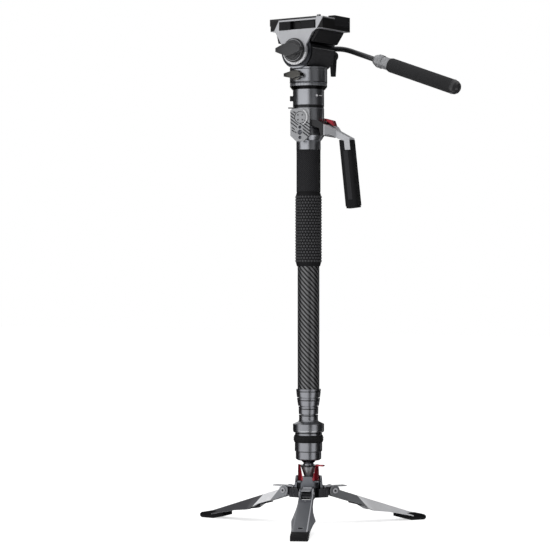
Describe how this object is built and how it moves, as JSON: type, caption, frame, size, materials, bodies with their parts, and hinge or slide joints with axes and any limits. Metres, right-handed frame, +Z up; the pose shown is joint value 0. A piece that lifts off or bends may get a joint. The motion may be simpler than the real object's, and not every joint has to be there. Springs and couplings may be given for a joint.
{
  "type": "camera monopod",
  "caption": "Telescopic camera monopod with folding three-leg ball foot, twist-lock tubes, hinged side handle and fluid pan-tilt head with pan bar and quick-release plate.",
  "frame": {"origin": "on the tube axis at floor level", "axes": "+Z up along the tube, +X along the head plate towards the pan bar's grip, knobs on -Y"},
  "size_m": [0.4564, 0.3728, 0.8155],
  "materials": {
    "dark_anodised": "satin anodised, grey",
    "silver_anodised": "satin anodised, light grey",
    "black_anodised": "satin anodised, black",
    "red_anodised": "satin anodised, red",
    "polished_steel": "polished",
    "pin_steel": "turned",
    "carbon_twill": "woven carbon under lacquer",
    "black_plastic": "fine moulded grain",
    "bearing_plastic": "turned, dry",
    "black_rubber": "moulded grain",
    "grip_foam": "closed-cell foam"
  },
  "bodies": {
    "foot": {"foot_hub": "dark_anodised", "ball_cup": "dark_anodised", "ball_retaining_ring": "black_anodised", "leg_hinge_pins": "pin_steel"},
    "lock_cage": {"tilt_lock_cage": "red_anodised"},
    "ball_seat": {"ball_seat_liner": "bearing_plastic"},
    "stem": {"ball_stem": "polished_steel", "damper_rotor": "black_plastic"},
    "lower_column": {"base_lower_shell": "dark_anodised", "base_rubber_ring": "black_rubber", "base_cap": "dark_anodised", "tube_4_ferrule": "dark_anodised", "tube_4": "dark_anodised", "tube_4_bush": "bearing_plastic"},
    "section_3": {"tube_3": "dark_anodised", "tube_3_bushes": "bearing_plastic"},
    "twist_collar_3": {"collar_3": "dark_anodised"},
    "section_2": {"tube_2": "dark_anodised", "tube_2_bushes": "bearing_plastic"},
    "twist_collar_2": {"collar_2": "dark_anodised"},
    "upper_column": {"tube_1": "carbon_twill", "tube_1_collet": "bearing_plastic", "upper_grip": "grip_foam", "lower_grip": "black_rubber", "clamp_body": "dark_anodised", "accessory_plate": "dark_anodised", "pivot_discs": "dark_anodised", "head_neck": "dark_anodised", "head_base": "dark_anodised"},
    "twist_collar_1": {"collar_1": "dark_anodised"},
    "lock_ring": {"head_lock_ring": "black_anodised"},
    "release_button": {"neck_release_button": "black_plastic"},
    "drag_ring": {"pan_drag_ring": "dark_anodised"},
    "pan_knob": {"pan_lock_knob": "black_plastic"},
    "side_handle": {"handle_yoke": "dark_anodised", "handle_grip": "black_rubber"},
    "trigger": {"handle_trigger": "red_anodised"},
    "turret": {"turret_drum": "dark_anodised", "drum_cover": "black_plastic"},
    "drag_dial": {"tilt_drag_dial": "dark_anodised"},
    "tilt_knob": {"tilt_lock_knob": "black_plastic"},
    "cradle": {"tilt_cradle": "dark_anodised", "platform_black_trim": "black_plastic"},
    "pan_bar": {"pan_bar_rod": "black_anodised"},
    "bar_nut": {"pan_bar_lock_nut": "silver_anodised"},
    "bar_grip": {"pan_bar_grip": "grip_foam"},
    "bar_lever": {"rosette_lever": "black_plastic"},
    "quick_plate": {"camera_plate": "dark_anodised"},
    "plate_screw": {"camera_screw": "pin_steel"},
    "plate_lever": {"plate_lock_lever": "black_plastic"},
    "plate_button": {"plate_release_button": "black_plastic"},
    "leg_1_arm": {"leg_1": "dark_anodised", "leg_rubbers_1": "black_rubber"},
    "latch_1": {"leg_latch_1": "dark_anodised"},
    "leg_2_arm": {"leg_2": "dark_anodised", "leg_rubbers_2": "black_rubber"},
    "latch_2": {"leg_latch_2": "dark_anodised"},
    "leg_3_arm": {"leg_3": "dark_anodised", "leg_rubbers_3": "black_rubber"},
    "latch_3": {"leg_latch_3": "dark_anodised"}
  },
  "joints": [
    {"name": "leg_1_fold", "type": "hinge", "parent": "foot", "child": "leg_1_arm", "pos_m": [0.021, 0.03637, 0.054], "axis": [-0.866, 0.5, 0], "range_deg": [0, 73]},
    {"name": "latch_1_lift", "type": "hinge", "parent": "foot", "child": "latch_1", "pos_m": [0.01275, 0.02208, 0.0608], "axis": [0.866, -0.5, 0], "range_deg": [0, 15], "stiffness_Nm_per_rad": 0.05, "springref_deg": -17.19},
    {"name": "leg_2_fold", "type": "hinge", "parent": "foot", "child": "leg_2_arm", "pos_m": [-0.042, 0, 0.054], "axis": [0, -1, 0], "range_deg": [0, 73]},
    {"name": "latch_2_lift", "type": "hinge", "parent": "foot", "child": "latch_2", "pos_m": [-0.0255, 0, 0.0608], "axis": [0, 1, 0], "range_deg": [0, 15], "stiffness_Nm_per_rad": 0.05, "springref_deg": -17.19},
    {"name": "leg_3_fold", "type": "hinge", "parent": "foot", "child": "leg_3_arm", "pos_m": [0.021, -0.03637, 0.054], "axis": [0.866, 0.5, 0], "range_deg": [0, 73]},
    {"name": "latch_3_lift", "type": "hinge", "parent": "foot", "child": "latch_3", "pos_m": [0.01275, -0.02208, 0.0608], "axis": [-0.866, -0.5, 0], "range_deg": [0, 15], "stiffness_Nm_per_rad": 0.05, "springref_deg": -17.19},
    {"name": "cage_turn", "type": "hinge", "parent": "foot", "child": "lock_cage", "pos_m": [0, 0, 0.085], "axis": [0, 0, 1], "range_deg": [0, 30]},
    {"name": "ball_swivel", "type": "hinge", "parent": "foot", "child": "ball_seat", "pos_m": [0, 0, 0.093], "axis": [0, 0, 1], "continuous": true},
    {"name": "ball_tilt", "type": "hinge", "parent": "ball_seat", "child": "stem", "pos_m": [0, 0, 0.093], "axis": [0, 1, 0], "range_deg": [-18, 18]},
    {"name": "base_pan", "type": "hinge", "parent": "stem", "child": "lower_column", "pos_m": [0, 0, 0.12], "axis": [0, 0, 1], "continuous": true},
    {"name": "section_3_slide", "type": "slide", "parent": "lower_column", "child": "section_3", "axis": [0, 0, 1], "range_m": [0, 0.33]},
    {"name": "section_2_slide", "type": "slide", "parent": "section_3", "child": "section_2", "axis": [0, 0, 1], "range_m": [0, 0.33]},
    {"name": "upper_slide", "type": "slide", "parent": "section_2", "child": "upper_column", "axis": [0, 0, 1], "range_m": [0, 0.33]},
    {"name": "collar_3_twist", "type": "hinge", "parent": "section_3", "child": "twist_collar_3", "pos_m": [0, 0, 0.184], "axis": [0, 0, 1], "range_deg": [0, 90]},
    {"name": "collar_2_twist", "type": "hinge", "parent": "section_2", "child": "twist_collar_2", "pos_m": [0, 0, 0.197], "axis": [0, 0, 1], "range_deg": [0, 90]},
    {"name": "collar_1_twist", "type": "hinge", "parent": "upper_column", "child": "twist_collar_1", "pos_m": [0, 0, 0.211], "axis": [0, 0, 1], "range_deg": [0, 90]},
    {"name": "lock_ring_turn", "type": "hinge", "parent": "upper_column", "child": "lock_ring", "pos_m": [0, 0, 0.668], "axis": [0, 0, 1], "range_deg": [0, 30]},
    {"name": "release_press", "type": "slide", "parent": "upper_column", "child": "release_button", "axis": [0.8192, 0.5736, 0], "range_m": [0, 0.0025], "stiffness_N_per_m": 300, "springref_m": -0.002},
    {"name": "drag_ring_turn", "type": "hinge", "parent": "upper_column", "child": "drag_ring", "pos_m": [0, 0, 0.7], "axis": [0, 0, 1], "continuous": true},
    {"name": "pan_knob_turn", "type": "hinge", "parent": "upper_column", "child": "pan_knob", "pos_m": [0.001, -0.04, 0.717], "axis": [0, -1, 0], "range_deg": [0, 90]},
    {"name": "handle_swing", "type": "hinge", "parent": "upper_column", "child": "side_handle", "pos_m": [0, 0, 0.65], "axis": [0.1908, -0.9816, 0], "range_deg": [0, 30]},
    {"name": "trigger_press", "type": "hinge", "parent": "side_handle", "child": "trigger", "pos_m": [0.03043, 0.00592, 0.646], "axis": [-0.1908, 0.9816, 0], "range_deg": [0, 7], "stiffness_Nm_per_rad": 0.02, "springref_deg": -11.46},
    {"name": "pan", "type": "hinge", "parent": "upper_column", "child": "turret", "pos_m": [0, 0, 0.73], "axis": [0, 0, 1], "continuous": true},
    {"name": "drag_dial_turn", "type": "hinge", "parent": "turret", "child": "drag_dial", "pos_m": [0, -0.042, 0.756], "axis": [0, -1, 0], "continuous": true},
    {"name": "tilt_knob_turn", "type": "hinge", "parent": "turret", "child": "tilt_knob", "pos_m": [0, -0.05, 0.756], "axis": [0, -1, 0], "range_deg": [0, 90]},
    {"name": "tilt", "type": "hinge", "parent": "turret", "child": "cradle", "pos_m": [0, 0, 0.756], "axis": [0, 1, 0], "range_deg": [-60, 60]},
    {"name": "pan_bar_angle", "type": "hinge", "parent": "cradle", "child": "pan_bar", "pos_m": [0, 0.052, 0.756], "axis": [0, 1, 0], "range_deg": [-60, 70]},
    {"name": "bar_nut_turn", "type": "hinge", "parent": "pan_bar", "child": "bar_nut", "pos_m": [0.093, 0.052, 0.74348], "axis": [0.9426, 0, -0.3338], "continuous": true},
    {"name": "bar_grip_slide", "type": "slide", "parent": "pan_bar", "child": "bar_grip", "axis": [0.9426, 0, -0.3338], "range_m": [0, 0.06]},
    {"name": "rosette_lever_turn", "type": "hinge", "parent": "pan_bar", "child": "bar_lever", "pos_m": [0, 0.067, 0.756], "axis": [0, 1, 0], "range_deg": [0, 60]},
    {"name": "plate_slide", "type": "slide", "parent": "cradle", "child": "quick_plate", "axis": [1, 0, 0], "range_m": [-0.03, 0]},
    {"name": "screw_turn", "type": "hinge", "parent": "quick_plate", "child": "plate_screw", "pos_m": [0.02, 0, 0.805], "axis": [0, 0, 1], "continuous": true},
    {"name": "plate_lever_open", "type": "hinge", "parent": "cradle", "child": "plate_lever", "pos_m": [0.012, -0.036, 0.795], "axis": [0, 0, -1], "range_deg": [0, 60]},
    {"name": "plate_button_press", "type": "slide", "parent": "cradle", "child": "plate_button", "axis": [0, 1, 0], "range_m": [0, 0.002], "stiffness_N_per_m": 300, "springref_m": -0.002}
  ]
}
